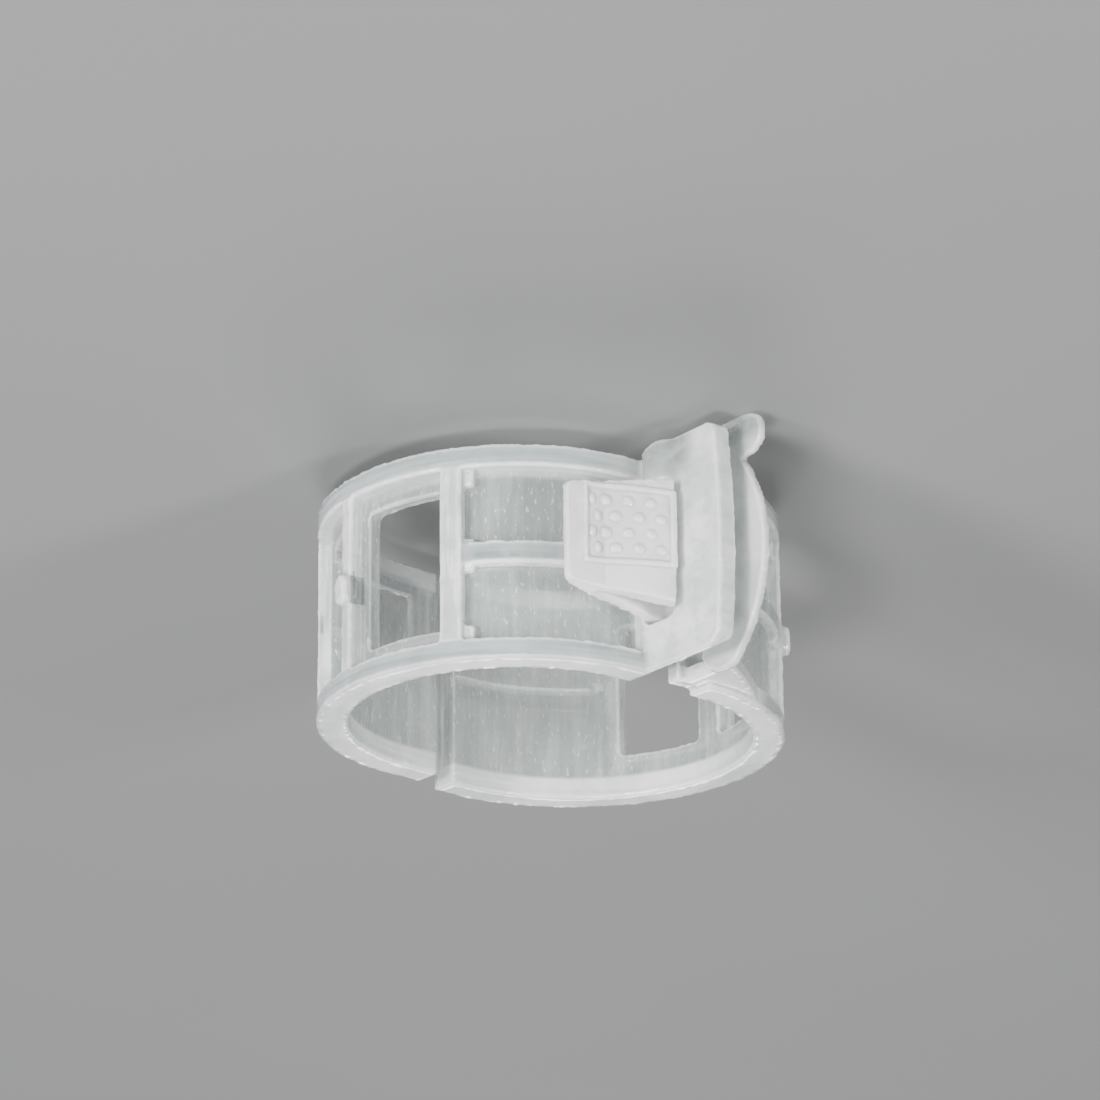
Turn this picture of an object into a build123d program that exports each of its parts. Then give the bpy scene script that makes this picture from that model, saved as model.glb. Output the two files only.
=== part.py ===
# Orchid clip: a small white polypropylene stem clip, closed and latched.
# Two channel-section half rings are joined at the back by a thin strap hinge.
# At the front a barbed hook on one half passes through a slotted plate on the other.
#
# Millimetres. +Z runs along the ring's axis, with the release tab at the bottom.
# The origin is on the keeper half's bore axis, at that half's lower rim.
# +X points from the hinge to the latch, and +Y to the keeper half.

from math import asin, cos, degrees, hypot, radians, sin
import os

from build123d import *

os.makedirs("parts", exist_ok=True)

# Channel section of both half rings
keeper_height = 10.6
hook_overhang = 0.275
keeper_bore_radius = 8.0
hook_bore_gain = 0.4
web_wall = 0.7
rim_height = 1.05
rim_stand = 0.8
centre_spacing = 3.6

# Windows, posts and rib of each half ring, in degrees from the middle of its run
centre_post_width = 0.75
window_start_deg = 5.2
window_end_deg = 35.6
window_height = 6.8
window_corner = 0.2
side_post_end_deg = 41.9
rib_height = 1.1
rib_stand = 0.65
corner_pad_deg = 3.2
corner_pad_height = 0.8
corner_pad_stand = 0.5

# Moulding gate stubs: one on the keeper's centre post, one on the hook's side post
gate_width = 0.9
gate_height = 1.5
gate_stand = 0.4
gate_drop = 0.35
gate_pocket_height = 1.35
gate_pocket_depth = 0.35

# Strap hinge
hinge_drop = 2.1
strap_length = 1.0
strap_wall = 0.35
strap_inset = 0.6
strap_gap = 0.06
end_wall = 0.75

# Keeper plate with its slot, and the lead-in boss below the slot
plate_wall = 1.0
plate_reach = 5.0
plate_bulge = 0.35
plate_low_corner = 0.4
plate_high_corner = 1.1
plate_overhang = 0.4
plate_ramp_run = 1.5
plate_bevel_depth = 0.75
plate_bevel_height = 0.5
slot_inset = 0.05
slot_width = 2.05
slot_height = 6.5
slot_corner = 0.3
boss_width = 2.1
boss_stand = 0.55
boss_slot_gap = 0.1

# Thumb disc, its neck and its gussets
disc_setback = 1.0
disc_wall = 0.4
disc_rim_gap = 0.85
disc_flat_run = 2.0
disc_lobe_run = 2.5
disc_inner_corner = 1.2
disc_outer_corner = 1.0
disc_neck_height = 8.3
gusset_setback = 0.4
gusset_run = 4.25
gusset_bulge = 0.15
gusset_inset = 0.25

# Lip that carries the hook half's web on to the disc
lip_length = 1.25
lip_inset = 0.1

# Release tab at the disc's lower edge
tab_tip_inset = 0.05
tab_length = 3.6
tab_width = 2.1
tab_wall = 0.35
tab_overhang = 1.0

# Hook leg and nose
hook_drop = 0.25
leg_wall = 0.65
leg_clearance = 0.1
nose_length = 5.2
nose_tip_shift = 0.25
nose_tip_wall = 0.35
nose_tip_height = 4.6
nose_round = 0.15
nose_corner = 0.4

# Sprung hook pad
pad_slot_clearance = 0.15
pad_root_wall = 0.48
pad_root_y = 3.55
pad_free_wall = 0.8
pad_catch = 1.0
pad_stop_gap = 0.1
pad_flex_gap = 0.04
pad_swing_gap = 0.06
pad_swell = 0.12

# Clear run of a cutting shape past the wall that it cuts
overrun = 2.0

# Places that follow from the sizes above
mid_height = keeper_height / 2
hook_height = keeper_height + 2 * hook_overhang
hook_low = -hook_overhang
keeper_rim_radius = keeper_bore_radius + web_wall + rim_stand
hook_bore_radius = keeper_bore_radius + hook_bore_gain
hook_centre = Vector(hook_bore_gain, -centre_spacing)
hook_rim_radius = hook_bore_radius + web_wall + rim_stand
hinge_x = -keeper_rim_radius
keeper_hinge_run = hinge_drop - strap_length / 2
hook_hinge_run = centre_spacing - hinge_drop - strap_length / 2
keeper_middle_deg = 90 + degrees(hinge_drop / keeper_rim_radius) / 2
disc_face = -(plate_wall + disc_setback)
disc_back = disc_face - disc_wall
hook_rim_end = disc_face - lip_length
hook_bore_x = hook_centre.X + hook_bore_radius
hook_web_x = hook_bore_x + web_wall
hook_rim_x = hook_web_x + rim_stand
plate_end = keeper_rim_radius + plate_reach
slot_start = keeper_rim_radius - slot_inset
slot_end = slot_start + slot_width
slot_middle = mid_height - hook_drop
disc_start = hook_rim_x + disc_rim_gap
disc_flat_end = disc_start + disc_flat_run
disc_end = disc_flat_end + disc_lobe_run
gusset_end = disc_flat_end - gusset_setback
tab_end = disc_end - tab_tip_inset
leg_inner_x = max(slot_start, hook_web_x) + leg_clearance
leg_outer_x = leg_inner_x + leg_wall
nose_tip_start = leg_inner_x + nose_tip_shift
hook_body_height = slot_height - 2 * pad_slot_clearance
pad_free_x = slot_end + pad_catch
flex_y = pad_root_y - pad_flex_gap
pad_swing_radius = hypot(slot_end - leg_outer_x, flex_y) - pad_swing_gap


def ring_sector(inner_radius, outer_radius, start_deg, end_deg):
    """Sketch of a flat ring sector about the origin."""
    turn = end_deg - start_deg
    with BuildSketch(mode=Mode.PRIVATE) as sector:
        with BuildLine():
            outer = CenterArc((0, 0), outer_radius, start_deg, turn)
            inner = CenterArc((0, 0), inner_radius, start_deg, turn)
            Line(outer @ 0, inner @ 0)
            Line(outer @ 1, inner @ 1)
        make_face()
    return sector.sketch


def channel_section(bore_radius, height):
    """Sketch of the channel: the web on the bore side, a rim at each end pointing out."""
    rim_radius = bore_radius + web_wall + rim_stand
    with BuildSketch(mode=Mode.PRIVATE) as section:
        with Locations(((bore_radius + rim_radius) / 2, mid_height)):
            Rectangle(rim_radius - bore_radius, height)
        with Locations((rim_radius - rim_stand / 2, mid_height)):
            Rectangle(rim_stand, height - 2 * rim_height, mode=Mode.SUBTRACT)
    return section.sketch


def half_ring(bore_radius, height, middle_deg, hinge_run, latch_run):
    """Half ring on the +Y side of its own axis, with straight runs on at both ends."""
    web_radius = bore_radius + web_wall
    rim_radius = web_radius + rim_stand
    low = mid_height - height / 2
    between_rims = height - 2 * rim_height
    with BuildPart() as ring:
        with BuildSketch(Plane.XZ):
            add(channel_section(bore_radius, height))
        revolve(axis=Axis.Z, revolution_arc=180)
        # Straight runs past the ring's own middle plane
        with BuildSketch(Plane.XZ):
            mirror(channel_section(bore_radius, height), about=Plane.YZ)
        extrude(amount=hinge_run)
        if latch_run > 0:
            with BuildSketch(Plane.XZ):
                add(channel_section(bore_radius, height))
            extrude(amount=latch_run)
        # End wall that carries the strap hinge
        with BuildSketch(Plane.XY.offset(low)):
            with Locations((-(bore_radius + rim_radius) / 2, end_wall / 2 - hinge_run)):
                Rectangle(rim_radius - bore_radius, end_wall)
        extrude(amount=height)
        # Rib on the hinge run
        with BuildSketch(Plane.XY.offset(mid_height)):
            with Locations((-web_radius - rib_stand / 2, -hinge_run / 2)):
                Rectangle(rib_stand, hinge_run)
        extrude(amount=rib_height / 2, both=True)
        # Centre post, rooted half way into the web
        post_depth = rim_stand + web_wall / 2
        with BuildSketch(Plane.XY.offset(low + rim_height)):
            with Locations(Location((0, 0), middle_deg)):
                with Locations((rim_radius - post_depth / 2, 0)):
                    Rectangle(post_depth, centre_post_width)
        extrude(amount=between_rims)
        for side, ring_end in ((-1, 0), (1, 180)):
            window_start = middle_deg + side * window_start_deg
            window_end = middle_deg + side * window_end_deg
            post_end = middle_deg + side * side_post_end_deg
            pad_end = post_end + side * corner_pad_deg
            # Window with rounded corners
            with BuildPart(mode=Mode.PRIVATE) as window:
                with BuildSketch(Plane.XY.offset(mid_height - window_height / 2)):
                    add(ring_sector(bore_radius / 2, rim_radius + overrun, window_start, window_end))
                extrude(amount=window_height)
                flats = window.faces().filter_by(Plane.XY)
                fillet(flats.edges().filter_by(GeomType.LINE), window_corner)
            add(window, mode=Mode.SUBTRACT)
            # Side post beside the window
            with BuildSketch(Plane.XY.offset(low + rim_height)):
                add(ring_sector(web_radius, rim_radius, window_end, post_end))
            extrude(amount=between_rims)
            # Rib round the end panel
            with BuildSketch(Plane.XY.offset(mid_height)):
                add(ring_sector(web_radius, web_radius + rib_stand, post_end, ring_end))
            extrude(amount=rib_height / 2, both=True)
            # Corner pads where the post meets the rims and the rib
            corner_pad = ring_sector(web_radius, web_radius + corner_pad_stand, post_end, pad_end)
            for pad_low in (low + rim_height, low + height - rim_height - corner_pad_height):
                with BuildSketch(Plane.XY.offset(pad_low)):
                    add(corner_pad)
                extrude(amount=corner_pad_height)
            with BuildSketch(Plane.XY.offset(mid_height)):
                add(corner_pad)
            extrude(amount=corner_pad_height, both=True)
    return ring.part


def gate_stub(centre, radius, angle_deg):
    """Rounded stub left where the mould filled, rooted in a post's outer face."""
    outward = Vector(cos(radians(angle_deg)), sin(radians(angle_deg)), 0)
    root = rim_stand / 2
    foot = Vector(centre.X, centre.Y, mid_height + gate_drop) + outward * (radius - root)
    with BuildPart() as stub:
        with BuildSketch(Plane(origin=foot, x_dir=(0, 0, 1), z_dir=outward)):
            SlotOverall(gate_height, gate_width)
        extrude(amount=root + gate_stand)
        fillet(stub.faces().sort_by(Axis(foot, outward))[-1].edges(), gate_stand / 2)
    return stub.part


# Keeper half ring
with BuildPart() as keeper_band:
    add(half_ring(keeper_bore_radius, keeper_height, keeper_middle_deg, keeper_hinge_run, 0))
    add(gate_stub(Vector(0, 0), keeper_rim_radius, keeper_middle_deg))
    # Pocket beside the stub, in the centre post's flank on the latch side
    with BuildSketch(Plane.XY.offset(mid_height + gate_drop)):
        with Locations(Location((0, 0), keeper_middle_deg)):
            with Locations((
                keeper_rim_radius - rim_stand / 2,
                (gate_pocket_depth - centre_post_width) / 2,
            )):
                Rectangle(rim_stand / 2, gate_pocket_depth)
    extrude(amount=gate_pocket_height / 2, both=True, mode=Mode.SUBTRACT)
keeper_band.part.label = "keeper_band"

# Keeper plate: stands out from the band's latch end, square to the ring, with the hook's slot
with BuildPart() as keeper_plate:
    with BuildSketch(Plane.XZ) as plate_outline:
        with BuildLine():
            edge = ThreePointArc(
                (plate_end, -plate_overhang),
                (plate_end + plate_bulge, mid_height),
                (plate_end, keeper_height),
            )
            Polyline(
                edge @ 0,
                (keeper_rim_radius + plate_ramp_run, -plate_overhang),
                (keeper_rim_radius, 0),
                (keeper_bore_radius, 0),
                (keeper_bore_radius, keeper_height),
                edge @ 1,
            )
        make_face()
        outer_corners = plate_outline.vertices().group_by(Axis.X)[-1].sort_by(Axis.Y)
        fillet(outer_corners[0], plate_low_corner)
        fillet(plate_outline.vertices().sort_by_distance((plate_end, keeper_height))[0], plate_high_corner)
        with Locations((slot_start + slot_width / 2, slot_middle)):
            RectangleRounded(slot_width, slot_height, slot_corner, mode=Mode.SUBTRACT)
    extrude(amount=plate_wall)
    # Bevel along the back of the high edge
    with BuildSketch(Plane.YZ):
        with BuildLine():
            Polyline(
                (-plate_wall, keeper_height),
                (plate_bevel_depth - plate_wall, keeper_height),
                (-plate_wall, keeper_height - plate_bevel_height),
                close=True,
            )
        make_face()
    extrude(amount=plate_end + plate_bulge, mode=Mode.SUBTRACT)
    # Lead-in boss, a half-round rib from the lower edge up to the slot
    with BuildSketch(Plane.XY.offset(-plate_overhang)):
        with BuildLine():
            boss_start = keeper_rim_radius + leg_clearance
            brow = ThreePointArc(
                (boss_start, 0),
                (boss_start + boss_width / 2, boss_stand),
                (boss_start + boss_width, 0),
            )
            Line(brow @ 1, brow @ 0)
        make_face()
    extrude(amount=plate_overhang + slot_middle - slot_height / 2 - boss_slot_gap)
    # The boss's low end follows the plate's ramp up from the rim
    with BuildSketch(Plane.XZ):
        with BuildLine():
            Polyline(
                (keeper_rim_radius, 0),
                (keeper_rim_radius, -plate_overhang),
                (keeper_rim_radius + plate_ramp_run, -plate_overhang),
                close=True,
            )
        make_face()
    extrude(amount=-boss_stand, mode=Mode.SUBTRACT)
keeper_plate.part.label = "keeper_plate"

# Keeper side of the strap hinge
with BuildPart() as keeper_strap:
    strap_run = (strap_length - strap_gap) / 2
    with BuildSketch(Plane.XY.offset(strap_inset)):
        with Locations((hinge_x + strap_wall / 2, -keeper_hinge_run - strap_run / 2)):
            Rectangle(strap_wall, strap_run)
    extrude(amount=keeper_height - 2 * strap_inset)
keeper_strap.part.label = "keeper_strap"

# Hook half ring, with the lip that carries its web on to the thumb disc
with BuildPart() as hook_band:
    hook_latch_run = centre_spacing + hook_rim_end
    hook_half = half_ring(hook_bore_radius, hook_height, 90, hook_hinge_run, hook_latch_run)
    add(mirror(hook_half, about=Plane.XZ, mode=Mode.PRIVATE).moved(Location(hook_centre)))
    with BuildSketch(Plane.XY.offset(lip_inset)):
        with Locations((hook_bore_x + web_wall / 2, disc_face - lip_length / 2)):
            Rectangle(web_wall, lip_length)
    extrude(amount=keeper_height - 2 * lip_inset)
    side_post_deg = (window_end_deg + side_post_end_deg) / 2
    add(gate_stub(hook_centre, hook_rim_radius, -90 + side_post_deg))
hook_band.part.label = "hook_band"

# Hook side of the strap hinge
with BuildPart() as hook_strap:
    with BuildSketch(Plane.XY.offset(strap_inset)):
        with Locations((hinge_x + strap_wall / 2, -hinge_drop - strap_length / 2 + strap_run / 2)):
            Rectangle(strap_wall, strap_run)
    extrude(amount=keeper_height - 2 * strap_inset)
hook_strap.part.label = "hook_strap"

# Thumb disc: a neck on the lip, opening into a D-shaped lobe
with BuildPart() as thumb_disc:
    with BuildSketch(Plane.XZ.offset(-disc_face)) as disc_outline:
        with BuildLine():
            rounded = ThreePointArc(
                (disc_flat_end, hook_low),
                (disc_end, mid_height),
                (disc_flat_end, hook_low + hook_height),
            )
            Polyline(
                rounded @ 0,
                (disc_start, hook_low),
                (disc_start, hook_low + hook_height),
                rounded @ 1,
            )
        make_face()
        fillet(disc_outline.vertices().group_by(Axis.X)[-1], disc_outer_corner)
        fillet(disc_outline.vertices().group_by(Axis.X)[0], disc_inner_corner)
        with Locations(((hook_web_x + disc_flat_end) / 2, mid_height)):
            Rectangle(disc_flat_end - hook_web_x, disc_neck_height)
    extrude(amount=disc_wall)
thumb_disc.part.label = "thumb_disc"


def disc_gusset(low):
    """Brace in the plane of one rim, from the disc's back round to the rim's outer edge."""
    foot_deg = degrees(asin((hook_centre.Y - disc_back + gusset_run) / hook_rim_radius))
    with BuildPart() as gusset:
        with BuildSketch(Plane.XY.offset(low)):
            with BuildLine():
                seat = CenterArc((hook_centre.X, hook_centre.Y), hook_rim_radius, -foot_deg, foot_deg)
                brace_end = Vector(gusset_end, disc_back)
                brace_middle = (seat @ 0 + brace_end) / 2 + Vector(gusset_bulge, 0)
                Polyline(
                    seat @ 1,
                    (hook_rim_x, hook_rim_end),
                    (hook_web_x, hook_rim_end),
                    (hook_web_x, disc_back),
                    brace_end,
                )
                ThreePointArc(brace_end, brace_middle, seat @ 0)
            make_face()
        extrude(amount=rim_height - gusset_inset)
    return gusset.part


# Gussets behind the disc, at the lower and the upper rim
with BuildPart() as low_gusset:
    add(disc_gusset(hook_low + gusset_inset))
low_gusset.part.label = "low_gusset"

with BuildPart() as high_gusset:
    add(disc_gusset(hook_low + hook_height - rim_height))
high_gusset.part.label = "high_gusset"

# Release tab: a round-ended lobe flush with the disc's back, cut to the disc's edge
with BuildPart() as release_tab:
    with BuildSketch(Plane.XZ.offset(-disc_back)):
        with Locations((tab_end - tab_length / 2, hook_low + tab_width / 2 - tab_overhang)):
            SlotOverall(tab_length, tab_width)
    extrude(amount=-tab_wall)
    add(thumb_disc, mode=Mode.SUBTRACT)
release_tab.part.label = "release_tab"

# Side view that tapers the hook from the plate to the nose
with BuildSketch(Plane.YZ) as hook_taper:
    with BuildLine():
        Polyline(
            (disc_face, slot_middle - hook_body_height / 2),
            (0, slot_middle - hook_body_height / 2),
            (nose_length, slot_middle - nose_tip_height / 2),
            (nose_length, slot_middle + nose_tip_height / 2),
            (0, slot_middle + hook_body_height / 2),
            (disc_face, slot_middle + hook_body_height / 2),
            close=True,
        )
    make_face()
    fillet(hook_taper.vertices().group_by(Axis.X)[-1], nose_corner)

# Hook leg: runs from the disc through the slot and ends in the wedge-shaped nose
with BuildPart() as hook_leg:
    with BuildSketch(Plane.XY.offset(mid_height)) as leg_profile:
        with BuildLine():
            Polyline(
                (leg_inner_x, disc_face),
                (leg_inner_x, pad_root_y),
                (nose_tip_start, nose_length),
                (nose_tip_start + nose_tip_wall, nose_length),
                (leg_outer_x + pad_root_wall, pad_root_y),
                (leg_outer_x, pad_root_y),
                (leg_outer_x, disc_face),
                close=True,
            )
        make_face()
        fillet(leg_profile.vertices().group_by(Axis.Y)[-1], nose_round)
    extrude(amount=hook_body_height, both=True)
    extrude(hook_taper.sketch, amount=plate_end, mode=Mode.INTERSECT)
hook_leg.part.label = "hook_leg"

# Hook pad: springs from the nose and spreads until it catches on the keeper plate.
# Its free end is cut to the circle on which it swings in past the slot's edge.
with BuildPart() as hook_pad:
    with BuildSketch(Plane.XY.offset(mid_height)):
        with BuildLine():
            root_outer = Vector(leg_outer_x + pad_root_wall, flex_y)
            free_outer = Vector(pad_free_x, pad_stop_gap)
            swell = (root_outer + free_outer) / 2 + Vector(pad_swell, pad_swell)
            ThreePointArc(root_outer, swell, free_outer)
            Polyline(
                free_outer,
                (pad_free_x - pad_free_wall, pad_stop_gap),
                (leg_outer_x, flex_y),
                root_outer,
            )
        make_face()
        with Locations((leg_outer_x, flex_y)):
            Circle(pad_swing_radius, mode=Mode.INTERSECT)
    extrude(amount=hook_body_height, both=True)
    extrude(hook_taper.sketch, amount=plate_end, mode=Mode.INTERSECT)
hook_pad.part.label = "hook_pad"

pieces = (
    keeper_band,
    keeper_plate,
    keeper_strap,
    hook_band,
    hook_strap,
    thumb_disc,
    low_gusset,
    high_gusset,
    release_tab,
    hook_leg,
    hook_pad,
)
for piece in pieces:
    export_step(piece.part, f"parts/{piece.part.label}.step")
    print(piece.part.label, round(piece.part.volume, 2), piece.part.bounding_box())
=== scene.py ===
import math

import bmesh
import bpy
import numpy as np
from mathutils import Matrix, Vector, noise


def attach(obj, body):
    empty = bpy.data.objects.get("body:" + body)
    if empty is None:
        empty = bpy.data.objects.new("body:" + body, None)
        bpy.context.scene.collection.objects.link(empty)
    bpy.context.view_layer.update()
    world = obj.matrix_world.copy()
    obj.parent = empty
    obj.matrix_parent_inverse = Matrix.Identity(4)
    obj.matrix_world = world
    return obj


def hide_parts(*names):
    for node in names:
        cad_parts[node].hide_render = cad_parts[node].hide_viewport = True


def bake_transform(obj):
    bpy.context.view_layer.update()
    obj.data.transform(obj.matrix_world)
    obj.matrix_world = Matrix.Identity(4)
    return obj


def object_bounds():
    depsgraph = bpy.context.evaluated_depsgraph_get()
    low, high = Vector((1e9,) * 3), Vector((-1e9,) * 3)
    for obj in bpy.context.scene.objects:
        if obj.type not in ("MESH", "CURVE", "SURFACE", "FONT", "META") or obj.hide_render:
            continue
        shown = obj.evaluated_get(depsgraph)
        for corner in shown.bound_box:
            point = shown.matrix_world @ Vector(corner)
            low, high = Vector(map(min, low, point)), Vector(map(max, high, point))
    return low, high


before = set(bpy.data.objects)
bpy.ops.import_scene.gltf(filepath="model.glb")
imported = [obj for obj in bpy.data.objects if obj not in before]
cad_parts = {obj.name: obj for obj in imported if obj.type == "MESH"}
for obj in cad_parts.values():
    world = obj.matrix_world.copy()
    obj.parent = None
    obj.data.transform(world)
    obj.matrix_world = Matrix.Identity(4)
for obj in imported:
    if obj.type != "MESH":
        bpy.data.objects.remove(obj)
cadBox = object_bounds()
mm = 0.001
print("frame loaded:", len(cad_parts), "nodes")


class Wire:
    # a node's output that can stand in a Python expression
    def __init__(self, sheet, socket):
        self.sheet = sheet
        self.socket = socket

    def maths(self, operation, *values):
        return self.sheet.node("ShaderNodeMath", {"operation": operation}, dict(enumerate(values)))

    def __add__(self, other):
        return self.maths("ADD", self, other)

    def __radd__(self, other):
        return self.maths("ADD", other, self)

    def __sub__(self, other):
        return self.maths("SUBTRACT", self, other)

    def __rsub__(self, other):
        return self.maths("SUBTRACT", other, self)

    def __mul__(self, other):
        return self.maths("MULTIPLY", self, other)

    def __rmul__(self, other):
        return self.maths("MULTIPLY", other, self)

    def __pow__(self, other):
        return self.maths("POWER", self, other)


class Finish:
    # one material; node() adds any node and hands back the wanted output
    def __init__(self, name):
        self.material = bpy.data.materials.new(name)
        self.material.use_nodes = True
        self.tree = self.material.node_tree
        self.tree.nodes.clear()
        self.output = self.tree.nodes.new("ShaderNodeOutputMaterial")

    def node(self, kind, settings, values, output=0):
        made = self.tree.nodes.new(kind)
        for name, value in settings.items():
            setattr(made, name, value)
        for name, value in values.items():
            if isinstance(value, Wire):
                self.tree.links.new(value.socket, made.inputs[name])
            else:
                made.inputs[name].default_value = value
        return Wire(self, made.outputs[output])

    def place(self):
        return self.node("ShaderNodeTexCoord", {}, {}, "Object")

    def split(self, vector):
        first = self.node("ShaderNodeSeparateXYZ", {}, {"Vector": vector})
        outputs = first.socket.node.outputs
        return [Wire(self, outputs[axis]) for axis in range(3)]

    def join(self, x, y, z):
        return self.node("ShaderNodeCombineXYZ", {}, {"X": x, "Y": y, "Z": z})

    def noise(self, vector, pattern):
        return self.node(
            "ShaderNodeTexNoise",
            {"noise_dimensions": "3D"},
            {
                "Vector": vector,
                "Scale": pattern["scale"],
                "Detail": pattern["detail"],
                "Roughness": pattern["roughness"],
            },
        )

    def ramp(self, value, low, high, edge):
        # smooth step from low to high as value crosses the edge
        start, end = edge
        return self.node(
            "ShaderNodeMapRange",
            {"interpolation_type": "SMOOTHSTEP"},
            {"Value": value, "From Min": start, "From Max": end, "To Min": low, "To Max": high},
        )

    def rise(self, value, start, end, top=1.0):
        # from zero to the top between two places in millimetres
        return self.ramp(value, 0.0, top, (start * mm, end * mm))

    def fall(self, value, start, end):
        # from one to zero between two places in millimetres
        return self.ramp(value, 1.0, 0.0, (start * mm, end * mm))

    def within(self, value, low, high, blur):
        # one between low and high, in millimetres, and zero outside them
        return self.rise(value, low - blur, low) * self.fall(value, high, high + blur)

    def mix(self, factor, first, second):
        return self.node(
            "ShaderNodeMix", {"data_type": "RGBA"}, {0: factor, 6: first, 7: second}, 2
        )

    def bump(self, height, distance, strength):
        return self.node(
            "ShaderNodeBump", {}, {"Height": height, "Distance": distance, "Strength": strength}
        )

    def surface(self, values):
        shader = self.node("ShaderNodeBsdfPrincipled", {}, values)
        self.tree.links.new(shader.socket, self.output.inputs["Surface"])
        return self.material


# natural polypropylene: thick places white, thin webs greyer, streaked and clearer
milky = {
    "thickColour": (0.90, 0.905, 0.88, 1.0),
    "cloudColour": (0.75, 0.79, 0.775, 1.0),
    "flowColour": (0.64, 0.70, 0.71, 1.0),
    # painted shade on the outward faces of the rims and rib
    "finShadeColour": (0.34, 0.42, 0.44, 1.0),
    # painted highlight on the outward edges
    "edgeHighlightColour": (0.99, 0.99, 0.98, 1.0),
    # also the colour of the painted shade in the keeper's pocket
    "webAndShadeColour": (0.40, 0.46, 0.44, 1.0),
    # also the colour of the painted shade in inner corners
    "webCloudAndShadeColour": (0.58, 0.63, 0.61, 1.0),
    "speckColour": (0.90, 0.92, 0.90, 1.0),
    "roughness": 0.18,
    "index": 1.49,
    "scatterDepth": (0.0007, 0.0008, 0.0008),
    "scatterWeight": 0.45,
    "thickClear": 0.20,  # share of the light that each place lets straight through
    "webClear": 0.36,
    "thinClear": 0.46,
    "finClear": 0.30,
    "coatWeight": 0.6,
    "coatRoughness": 0.07,
    "bumpDistance": 0.05 * mm,
    "bumpStrength": 0.7,
    "edgeTurn": (0.3, 1.8),  # how sharply the skin turns at edges and in corners
    "cornerTurn": (-2.0, -0.3),
    "cornerShade": 0.65,
}
cloudPattern = {
    "scale": 240.0,
    "detail": 4.0,
    "roughness": 0.55,
    "edge": (0.36, 0.70),
    "height": 0.5,
    "dulls": 0.12,
    "clearEdge": (0.36, 0.64),
    "clearShare": (0.4, 1.6),
}
grainPattern = {"scale": 2600.0, "detail": 2.0, "roughness": 0.5, "height": 0.12}
flowPattern = {
    "scale": 1700.0,
    "detail": 3.0,
    "roughness": 0.55,
    "round": 0.05,  # drawn out round the ring
    "deep": 0.6,
    "edge": (0.46, 0.66),
    "share": 0.75,
    "finEdge": (0.40, 0.62),  # the painted shade and clearness of the outward faces show least where the flow is strong
    "finShare": (1.0, 0.3),
    "finEven": 0.25,
    "finUneven": 0.75,
}
streakPattern = {
    "scale": 2300.0,
    "detail": 4.0,
    "roughness": 0.62,
    "upright": 0.10,  # drawn out along the ring's axis
    "edge": (0.40, 0.70),
    "height": 0.9,
    "dulls": 0.16,
    "postEdge": (0.46, 0.56),
    "postShare": 0.8,
}
speckPattern = {
    "scale": 6200.0,
    "detail": 2.0,
    "roughness": 0.5,
    "upright": 0.35,
    "edge": (0.61, 0.70),
    "share": 0.6,
    "height": 0.5,
}
# where the ring's marks begin and end, in millimetres
ringEdges = {
    "bandEnd": (9.2, 9.9),  # along x, before the latch
    "rimFace": (0.60, 0.74),  # out from the web
    "ribFace": (0.48, 0.58),
    "ribCrest": (0.69, 0.75),
    "webFace": (0.08, 0.20),
    "ribLow": (-0.62, -0.5),  # up from the ring's middle
    "ribHigh": (0.3, 0.5),
    "rimBlur": 0.15,
    "intoRim": 0.1,
    "intoWeb": 0.15,
}


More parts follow.
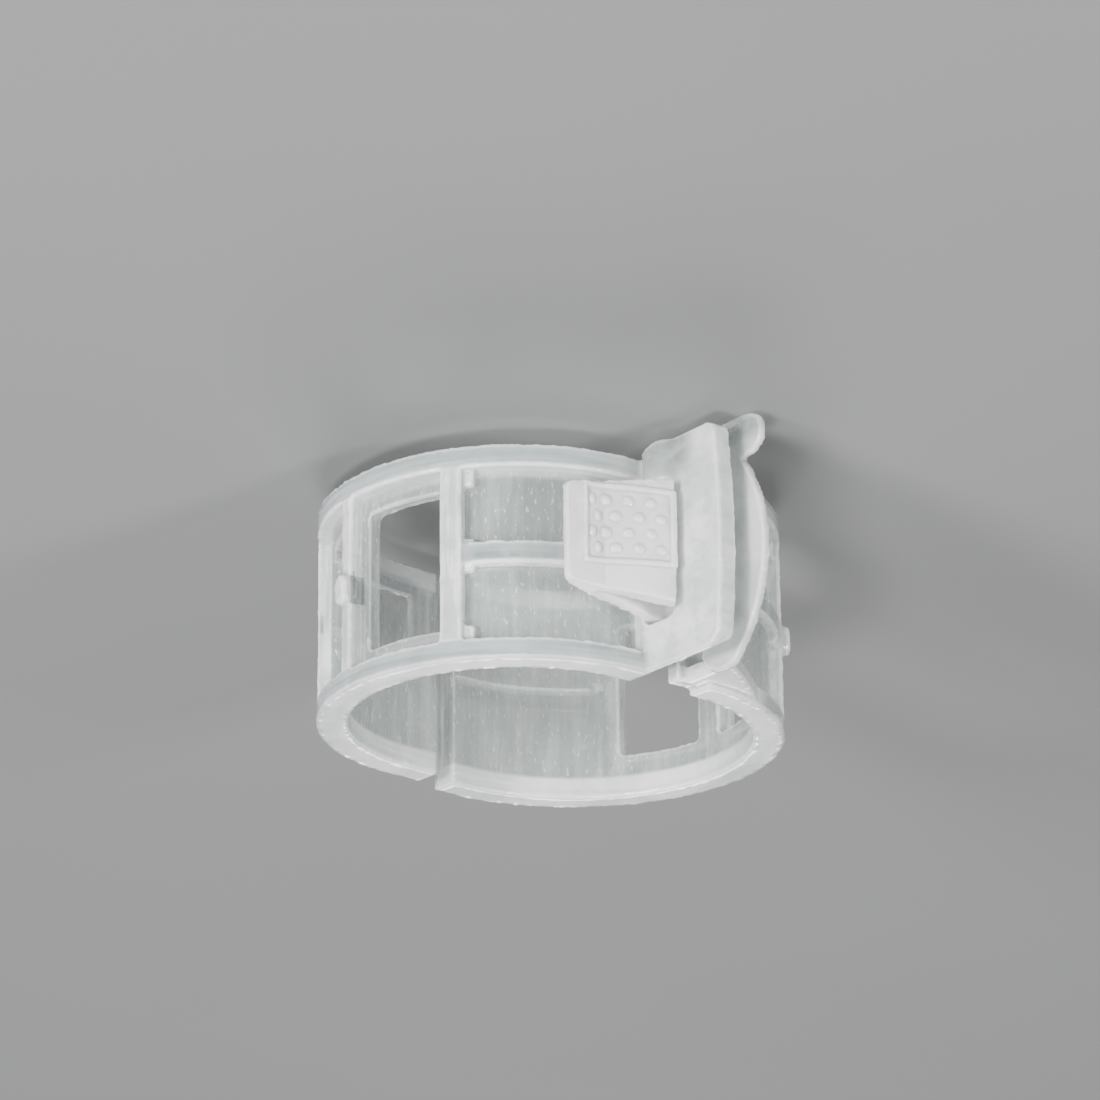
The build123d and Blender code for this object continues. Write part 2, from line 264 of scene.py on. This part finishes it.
def ringMarks(sheet, place, ring, colour, height, rough, opaque):
    # a half ring's flow lines, clearer rims and rib with painted shade on their outward faces,
    # streaked web and upright lines on its posts
    x, y, z = place
    low, high = ring["low"], ring["high"]
    blur, intoRim, intoWeb = (ringEdges[key] for key in ("rimBlur", "intoRim", "intoWeb"))

    def outFrom(start, key):
        return [start + step for step in ringEdges[key]]

    dx = x - ring["centre"][0] * mm
    dy = y - ring["centre"][1] * mm
    radius = (dx * dx + dy * dy) ** 0.5
    angle = sheet.node("ShaderNodeMath", {"operation": "ARCTAN2"}, {0: dy, 1: dx})
    turn = angle * (ring["web"] * mm)
    around = sheet.join(turn * flowPattern["round"], radius * flowPattern["deep"], z)
    flow = sheet.noise(around, flowPattern)
    flowing = sheet.ramp(flow, 0.0, flowPattern["share"], flowPattern["edge"])
    colour = sheet.mix(flowing, colour, milky["flowColour"])
    # painted shade: outward faces of the thin rims and of the rib are painted darker, where they
    # get less light, and also let some of what is behind them through
    band = sheet.fall(x, *ringEdges["bandEnd"])
    rimZone = sheet.fall(z, low - blur, low) + sheet.rise(z, high, high + blur)
    middle = (low + high) / 2
    ribZone = sheet.rise(z, *outFrom(middle, "ribLow")) * sheet.fall(z, *outFrom(middle, "ribHigh"))
    rimFace = sheet.rise(radius, *outFrom(ring["web"], "rimFace")) * rimZone
    ribFace = (
        sheet.rise(radius, *outFrom(ring["web"], "ribFace"))
        * sheet.fall(radius, *outFrom(ring["web"], "ribCrest"))
        * ribZone
    )
    still = sheet.ramp(flow, *flowPattern["finShare"], flowPattern["finEdge"])
    unevenly = flowPattern["finEven"] + flowPattern["finUneven"] * still
    finShade = (rimFace + ribFace) * band * unevenly
    colour = sheet.mix(finShade, colour, milky["finShadeColour"])
    opaque = opaque - finShade * milky["finClear"]
    # streaks and specks stand upright in the web between the rims
    streaks = sheet.noise(sheet.join(turn, radius, z * streakPattern["upright"]), streakPattern)
    specks = sheet.noise(sheet.join(turn, radius, z * speckPattern["upright"]), speckPattern)
    inward = sheet.fall(radius, *outFrom(ring["web"], "webFace"))
    aboveLow = sheet.rise(z, low - intoRim, low + intoWeb)
    belowHigh = sheet.fall(z, high - intoWeb, high + intoRim)
    web = inward * aboveLow * belowHigh
    streak = sheet.ramp(streaks, 0.0, 1.0, streakPattern["edge"])
    speck = sheet.ramp(specks, 0.0, speckPattern["share"], speckPattern["edge"])
    streaked = sheet.mix(streak, milky["webAndShadeColour"], milky["webCloudAndShadeColour"])
    streaked = sheet.mix(speck, streaked, milky["speckColour"])
    colour = sheet.mix(web, colour, streaked)
    # posts and window frames carry upright flow lines
    postLines = sheet.ramp(streaks, 0.0, streakPattern["postShare"], streakPattern["postEdge"])
    posts = aboveLow * belowHigh * (1.0 - web) * band * postLines
    colour = sheet.mix(posts, colour, milky["webCloudAndShadeColour"])
    height = height + web * streaks * streakPattern["height"] + web * speck * speckPattern["height"]
    rough = rough + web * streaks * streakPattern["dulls"]
    opaque = opaque - web * milky["webClear"] * (1.0 - speck)
    return colour, height, rough, opaque


def milkyPlastic(name, ring=None, thinAndShadePlace=None):
    sheet = Finish(name)
    spot = sheet.place()
    place = sheet.split(spot)
    clouds = sheet.noise(spot, cloudPattern)
    grain = sheet.noise(spot, grainPattern)
    cloudy = sheet.ramp(clouds, 0.0, 1.0, cloudPattern["edge"])
    colour = sheet.mix(cloudy, milky["thickColour"], milky["cloudColour"])
    height = clouds * cloudPattern["height"] + grain * grainPattern["height"]
    rough = milky["roughness"] + clouds * cloudPattern["dulls"]
    clear = sheet.ramp(clouds, *cloudPattern["clearShare"], cloudPattern["clearEdge"])
    opaque = 1.0 - milky["thickClear"] * clear
    if thinAndShadePlace is not None:
        # thin plates beside the ring let the shade behind them show; in the keeper this mask also
        # holds painted shade in the centre post's pocket
        thinAndShade = thinAndShadePlace(sheet, *place)
        colour = sheet.mix(thinAndShade, colour, milky["webAndShadeColour"])
        opaque = opaque - thinAndShade * milky["thinClear"]
    if ring is not None:
        colour, height, rough, opaque = ringMarks(sheet, place, ring, colour, height, rough, opaque)
    # painted highlight and painted shade: edges are made whiter, as if catching the light inside
    # the plastic, and inner corners darker
    crease = sheet.node("ShaderNodeAttribute", {"attribute_name": "crease"}, {}, "Fac")
    edge = sheet.ramp(crease, 0.0, 1.0, milky["edgeTurn"])
    corner = sheet.ramp(crease, milky["cornerShade"], 0.0, milky["cornerTurn"])
    colour = sheet.mix(edge, colour, milky["edgeHighlightColour"])
    colour = sheet.mix(corner, colour, milky["webCloudAndShadeColour"])
    return sheet.surface(
        {
            "Base Color": colour,
            "Roughness": rough,
            "IOR": milky["index"],
            "Subsurface Weight": milky["scatterWeight"],
            "Subsurface Radius": milky["scatterDepth"],
            "Subsurface Scale": 1.0,
            "Coat Weight": milky["coatWeight"],
            "Coat Roughness": milky["coatRoughness"],
            "Alpha": opaque,
            "Normal": sheet.bump(height, milky["bumpDistance"], milky["bumpStrength"]),
        }
    )


def asMesh(name, shape):
    mesh = bpy.data.meshes.new(name)
    shape.to_mesh(mesh)
    shape.free()
    return mesh


def addObject(name, data):
    added = bpy.data.objects.new(name, data)
    bpy.context.scene.collection.objects.link(added)
    return added


def nodeShape(*nodes):
    # merged copies of CAD nodes in one bmesh, in millimetres
    whole = bmesh.new()
    for name in nodes:
        one = bmesh.new()
        one.from_mesh(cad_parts[name].data)
        bmesh.ops.remove_doubles(one, verts=one.verts, dist=0.0005 * mm)
        bmesh.ops.scale(one, vec=(1 / mm, 1 / mm, 1 / mm), verts=one.verts)
        copy = asMesh("copy", one)
        whole.from_mesh(copy)
        bpy.data.meshes.remove(copy)
    return whole


def legPart(name, y, **side):
    # the hook's leg cut at y, with one side taken away and the cut closed
    leg = nodeShape("hook_leg")
    bmesh.ops.bisect_plane(
        leg,
        geom=leg.verts[:] + leg.edges[:] + leg.faces[:],
        plane_co=(0, y, 0),
        plane_no=(0, 1, 0),
        **side,
    )
    bmesh.ops.holes_fill(leg, edges=[edge for edge in leg.edges if edge.is_boundary])
    return asMesh(name, leg)


# small nicks and flash along the outward edges, in millimetres
flash = {
    "sharpness": 0.7,
    "coarse": 1.9,
    "coarseShare": 0.6,
    "fine": 5.3,
    "fineShare": 0.4,
    "size": 0.07,
}


def markCreases(mesh):
    # how sharply the skin turns at each point, per millimetre: outward edges above zero
    count = len(mesh.vertices)
    places = np.empty(count * 3)
    mesh.vertices.foreach_get("co", places)
    places = places.reshape(-1, 3) / mm
    facing = np.empty(count * 3)
    mesh.vertex_normals.foreach_get("vector", facing)
    facing = facing.reshape(-1, 3)
    ends = np.empty(len(mesh.edges) * 2, dtype=np.int32)
    mesh.edges.foreach_get("vertices", ends)
    ends = ends.reshape(-1, 2)
    step = places[ends[:, 1]] - places[ends[:, 0]]
    swing = facing[ends[:, 1]] - facing[ends[:, 0]]
    turn = (swing * step).sum(axis=1) / (step * step).sum(axis=1)
    share = np.zeros(count)
    total = np.zeros(count)
    for side in (0, 1):
        np.add.at(total, ends[:, side], turn)
        np.add.at(share, ends[:, side], 1.0)
    crease = mesh.attributes.new("crease", "FLOAT", "POINT")
    sharpness = total / np.maximum(share, 1.0)
    crease.data.foreach_set("value", sharpness)
    for at in np.nonzero(sharpness > flash["sharpness"])[0]:
        spot = Vector(places[at])
        coarse = noise.noise(spot * flash["coarse"]) * flash["coarseShare"]
        fine = noise.noise(spot * flash["fine"]) * flash["fineShare"]
        places[at] += facing[at] * (coarse + fine) * flash["size"]
    mesh.vertices.foreach_set("co", (places * mm).ravel())
    mesh.update()


mould = {"softness": 0.5, "keep": 0.6}  # keep is the share of the faces that stays


def cast(name, shape, size):
    # fuses a piece's shapes into one skin and softens its edges, as a mould does
    rough = addObject(name + ".raw", asMesh(name + ".raw", shape))
    skin = rough.modifiers.new("skin", "REMESH")
    skin.mode = "VOXEL"
    skin.voxel_size = size["voxel"]
    soften = rough.modifiers.new("soften", "SMOOTH")
    soften.factor = mould["softness"]
    soften.iterations = size["rounding"]
    thinOut = rough.modifiers.new("thinOut", "DECIMATE")
    thinOut.ratio = mould["keep"]
    ready = bpy.context.evaluated_depsgraph_get()
    mesh = bpy.data.meshes.new_from_object(rough.evaluated_get(ready))
    bpy.data.objects.remove(rough)
    mesh.transform(Matrix.Scale(mm, 4))
    mesh.name = name
    mesh.shade_smooth()
    markCreases(mesh)
    print(name, "cast:", len(mesh.polygons), "faces")
    return addObject(name, mesh)


def finishPiece(piece, material, *nodes):
    piece.data.materials.clear()
    piece.data.materials.append(material)
    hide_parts(*nodes)


# keeper half: band and slotted plate in one skin
keeper = {
    "voxel": 0.095,
    "rounding": 3,
    "centre": (0.0, 0.0),
    "web": 8.7,  # outer radius of the web
    "low": 1.05,  # inner faces of the two rims
    "high": 9.55,
    "footThin": 0.85,
    "footStart": (9.6, 10.2),
    "footEnd": (12.2, 13.6),
    "footTop": (0.5, 2.0),
    "pocketShade": 0.95,
    "pocketAcross": (-0.90, -0.46, 0.07),  # both ends and the blur
    "pocketDeep": (8.75, 9.40, 0.07),
    "pocketTall": (4.98, 6.30, 0.06),
}


def keeperThinAndShade(sheet, x, y, z):
    # the plate's foot, below the slot, which is thin, and painted shade in the pocket in the centre
    # post's flank
    outward = sheet.rise(x, *keeper["footStart"])
    inner = sheet.fall(x, *keeper["footEnd"])
    foot = keeper["footThin"] * outward * inner * sheet.fall(z, *keeper["footTop"])
    # painted shade: the pocket is greyed and made clearer where shade falls inside it
    pocket = (
        sheet.within(x, *keeper["pocketAcross"])
        * sheet.within(y, *keeper["pocketDeep"])
        * sheet.within(z, *keeper["pocketTall"])
    )
    return foot + keeper["pocketShade"] * pocket


keeperMoulding = cast("keeperMoulding", nodeShape("keeper_band", "keeper_plate"), keeper)
keeperFinish = milkyPlastic("keeperPlastic", keeper, keeperThinAndShade)
finishPiece(keeperMoulding, keeperFinish, "keeper_band", "keeper_plate")
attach(keeperMoulding, "keeper_half")

# hook half: band, lip, disc, gussets, tab and the leg up to the nose
hook = {
    "voxel": 0.1,
    "rounding": 3,
    "centre": (0.4, -3.6),
    "web": 9.1,
    "low": 0.775,
    "high": 9.825,
    "legEnd": 3.5,
    "discThin": 0.30,
    "discRim": (11.0, 12.5),
    "tabThin": 0.60,
    "tabRoot": (-0.5, 0.3),
    "braceBack": (-2.7, -2.45),
    "braceOut": (10.3, 10.8),
    "braceThin": 0.2,
}


def hookThin(sheet, x, y, z):
    # the disc's rim, the tab and the braces behind the disc
    disc = hook["discThin"] * sheet.rise(x, *hook["discRim"])
    tab = hook["tabThin"] * sheet.fall(z, *hook["tabRoot"])
    brace = sheet.fall(y, *hook["braceBack"]) * sheet.rise(x, *hook["braceOut"], hook["braceThin"])
    return disc + tab + brace * (1.0 - disc)


hookShape = nodeShape("hook_band", "thumb_disc", "low_gusset", "high_gusset", "release_tab")
hookShape.from_mesh(legPart("leg", hook["legEnd"], clear_outer=True))
hookMoulding = cast("hookMoulding", hookShape, hook)
finishPiece(
    hookMoulding,
    milkyPlastic("hookPlastic", hook, hookThin),
    "hook_band",
    "thumb_disc",
    "low_gusset",
    "high_gusset",
    "release_tab",
    "hook_leg",
)
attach(hookMoulding, "hook_half")

# barb: nose and sprung pad in one skin
barb = {
    "voxel": 0.05,
    "rounding": 4,
    "cut": 3.3,
    "bendOut": 10.3,
    "bendStart": 3.8,
    "bendEnd": 3.1,
    "lowShift": 0.25,  # the low edge runs nearly level from nose to free end
    "shiftStart": 0.5,
    "shiftRun": 4.5,
    "middle": 5.05,
}
grip = {
    "along": (4.4, 3.5, 2.0, 0.45),  # places on the pad's face by y, from the nose to the free end
    "face": (10.45, 10.76, 11.66, 12.38),  # and by x
    "low": 2.65,
    "high": 6.4,
    "reach": 4.4,
    "cells": 12,  # the frame starts as the outer cells of a square grid
    "frameWidth": 0.2,
    "frameHeight": 0.13,
    "pipRadius": 0.36,
    "pipShare": 0.82,
    "pipHeight": 0.15,
    "pipSides": 14,
    "pipRings": 8,
    "columns": 4,
    "rows": 4,
    "stagger": 0.225,  # share of a column by which each row is moved, one way and the other
    "spread": (0.82, 0.80),  # share of the frame that the pips take up
}


def onFace(share, rise):
    # point above the pad's curved face; share runs from 0 at the nose to 1 at the free end
    step = share * (len(grip["along"]) - 1)
    first = min(int(step), len(grip["along"]) - 2)
    ends = [Vector((grip["face"][at], grip["along"][at])) for at in (first, first + 1)]
    spot = ends[0].lerp(ends[1], step - first)
    across = (ends[1] - ends[0]).normalized()
    return spot + Vector((-across.y, across.x)) * rise


def addFrame(shape, tall):
    # the outer ring of a grid's cells, narrowed and given its thickness
    bmesh.ops.create_grid(shape, x_segments=grip["cells"], y_segments=grip["cells"], size=0.5)
    inner = [
        face
        for face in shape.faces
        if all(max(abs(vert.co.x), abs(vert.co.y)) < 0.49 for vert in face.verts)
    ]
    bmesh.ops.delete(shape, geom=inner, context="FACES")
    inside = 0.5 - 1 / grip["cells"]
    for vert in shape.verts:
        for axis in (0, 1):
            if abs(abs(vert.co[axis]) - inside) < 0.001:
                vert.co[axis] *= (0.5 - grip["frameWidth"] / tall) / inside
    bmesh.ops.solidify(shape, geom=shape.faces[:], thickness=1.0)
    for vert in shape.verts:
        top = abs(vert.co.z) < 0.5
        vert.co.z = grip["frameHeight"] if top else -grip["frameHeight"]


def addPip(shape, column, row, tall):
    shift = grip["stagger"] if row % 2 else -grip["stagger"]
    spot = (
        (column + 0.5 + shift) / grip["columns"] - 0.5,
        (row + 0.5) / grip["rows"] - 0.5,
        0.0,
    )
    size = (
        grip["pipRadius"] / grip["reach"] * grip["pipShare"],
        grip["pipRadius"] / tall * grip["pipShare"],
        grip["pipHeight"],
    )
    spread = Matrix.Diagonal((*grip["spread"], 1.0, 1.0))
    pip = bmesh.ops.create_uvsphere(
        shape, u_segments=grip["pipSides"], v_segments=grip["pipRings"], radius=1.0
    )["verts"]
    bmesh.ops.scale(shape, vec=size, verts=pip)
    bmesh.ops.transform(shape, matrix=spread @ Matrix.Translation(spot), verts=pip)


def gripShape():
    # raised frame with rows of round pips, made flat in a unit square and laid on the pad's face
    shape = bmesh.new()
    tall = grip["high"] - grip["low"]
    addFrame(shape, tall)
    for column in range(grip["columns"]):
        for row in range(grip["rows"]):
            addPip(shape, column, row, tall)
    for vert in shape.verts:
        spot = onFace(vert.co.x + 0.5, vert.co.z)
        vert.co = (spot.x, spot.y, grip["low"] + (vert.co.y + 0.5) * tall)
    bmesh.ops.recalc_face_normals(shape, faces=shape.faces)
    return shape


barbShape = nodeShape("hook_pad")
barbShape.from_mesh(legPart("nose", barb["cut"], clear_inner=True))
barbShape.from_mesh(asMesh("grip", gripShape()))
for vert in barbShape.verts:
    if vert.co.z < barb["middle"]:
        share = min(max((vert.co.y - barb["shiftStart"]) / barb["shiftRun"], 0.0), 1.0)
        depth = (barb["middle"] - vert.co.z) / (barb["middle"] - grip["low"])
        vert.co.z -= barb["lowShift"] * share * min(depth, 1.0)
hookBarb = cast("hookBarb", barbShape, barb)
finishPiece(hookBarb, milkyPlastic("barbPlastic"), "hook_pad")
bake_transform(hookBarb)

# hinge film across the gap between the halves
film = {
    "out": -9.5,
    "wall": 0.35,
    "start": -1.5,
    "end": -2.7,
    "low": 0.6,
    "high": 10.0,
    "cuts": 12,
    "bendStart": -1.65,
    "bendEnd": -2.55,
}
filmMiddle = (
    film["out"] + film["wall"] / 2,
    (film["start"] + film["end"]) / 2,
    (film["low"] + film["high"]) / 2,
)
filmShape = bmesh.new()
bmesh.ops.create_cube(filmShape, size=1.0)
bmesh.ops.scale(
    filmShape,
    vec=(film["wall"], film["start"] - film["end"], film["high"] - film["low"]),
    verts=filmShape.verts,
)
bmesh.ops.translate(filmShape, vec=filmMiddle, verts=filmShape.verts)
bmesh.ops.subdivide_edges(
    filmShape,
    edges=[edge for edge in filmShape.edges if abs(edge.verts[0].co.y - edge.verts[1].co.y) > 0.5],
    cuts=film["cuts"],
    use_grid_fill=True,
)
filmShape.normal_update()
bmesh.ops.scale(filmShape, vec=(mm, mm, mm), verts=filmShape.verts)
hingeFilm = addObject("hingeFilm", asMesh("hingeFilm", filmShape))
finishPiece(hingeFilm, milkyPlastic("filmPlastic"), "keeper_strap", "hook_strap")
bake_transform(hingeFilm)
print("pieces placed")

# camera at the photograph's viewing angle, rolled by half a turn as there
view = {
    "target": (0.0, 0.0, 5.3 * mm),
    "distance": 0.220,
    "elevation": 20.528,
    "heading": 39.379,
    "roll": -0.451,
    "lens": 149.59,
    "sensor": 36.0,
    "shift": (0.0321, 0.0651),
    "clip": (0.01, 10.0),
}
lift = math.radians(view["elevation"])
heading = math.radians(view["heading"])
roll = math.radians(view["roll"])
back = Vector(
    (math.cos(lift) * math.cos(heading), math.cos(lift) * math.sin(heading), math.sin(lift))
)
upright = Vector(
    (math.sin(lift) * math.cos(heading), math.sin(lift) * math.sin(heading), -math.cos(lift))
)
across = upright.cross(back)
right = across * math.cos(roll) + upright * math.sin(roll)
up = upright * math.cos(roll) - across * math.sin(roll)
stand = Matrix.Translation(Vector(view["target"]) + back * view["distance"])
cameraData = bpy.data.cameras.new("camera")
cameraData.sensor_width = view["sensor"]
cameraData.lens = view["lens"]
cameraData.shift_x, cameraData.shift_y = view["shift"]
cameraData.clip_start, cameraData.clip_end = view["clip"]
camera = addObject("camera", cameraData)
camera.matrix_world = stand @ Matrix((right, up, back)).transposed().to_4x4()
bpy.context.scene.camera = camera

# plain pale floor and soft studio light
studio = {
    "floorSize": 4.0,
    "floorColour": (0.25, 0.25, 0.255, 1.0),
    "floorCloudColour": (0.265, 0.265, 0.27, 1.0),
    "floorRoughness": 0.8,
    "floorPattern": {"scale": 30.0, "detail": 2.0, "roughness": 0.5},
    "skyColour": (0.97, 1.0, 0.98, 1.0),
    "skyStrength": 0.18,
    "aim": (0.0, 0.0, 0.005),
    "lamps": {  # place, size and power
        "keyLight": ((0.12, 0.23, 0.26), 0.10, 1.05),
        "frontLight": ((0.08, 0.37, 0.09), 0.10, 2.3),
        "sideLight": ((0.34, -0.06, 0.12), 0.07, 1.0),
        "backLight": ((-0.25, -0.20, 0.22), 0.16, 0.65),
    },
}
floorShape = bmesh.new()
bmesh.ops.create_grid(floorShape, x_segments=1, y_segments=1, size=studio["floorSize"] / 2)
bmesh.ops.translate(floorShape, vec=(0, 0, cadBox[0].z), verts=floorShape.verts)
floor = addObject("floor", asMesh("floor", floorShape))
floorSheet = Finish("floorPaint")
floorTone = floorSheet.noise(floorSheet.place(), studio["floorPattern"])
floorColour = floorSheet.mix(floorTone, studio["floorColour"], studio["floorCloudColour"])
floor.data.materials.append(
    floorSheet.surface({"Base Color": floorColour, "Roughness": studio["floorRoughness"]})
)


def softbox(name, place, size, power):
    lamp = bpy.data.lights.new(name, "AREA")
    lamp.shape = "DISK"
    lamp.size = size
    lamp.energy = power
    holder = addObject(name, lamp)
    holder.location = place
    holder.rotation_mode = "QUATERNION"
    holder.rotation_quaternion = (Vector(place) - Vector(studio["aim"])).to_track_quat("Z", "Y")


for name, lamp in studio["lamps"].items():
    softbox(name, *lamp)
world = bpy.data.worlds.new("studio")
world.use_nodes = True
sky = world.node_tree.nodes["Background"].inputs
sky["Color"].default_value = studio["skyColour"]
sky["Strength"].default_value = studio["skyStrength"]
bpy.context.scene.world = world
print("camera, floor and lights set")
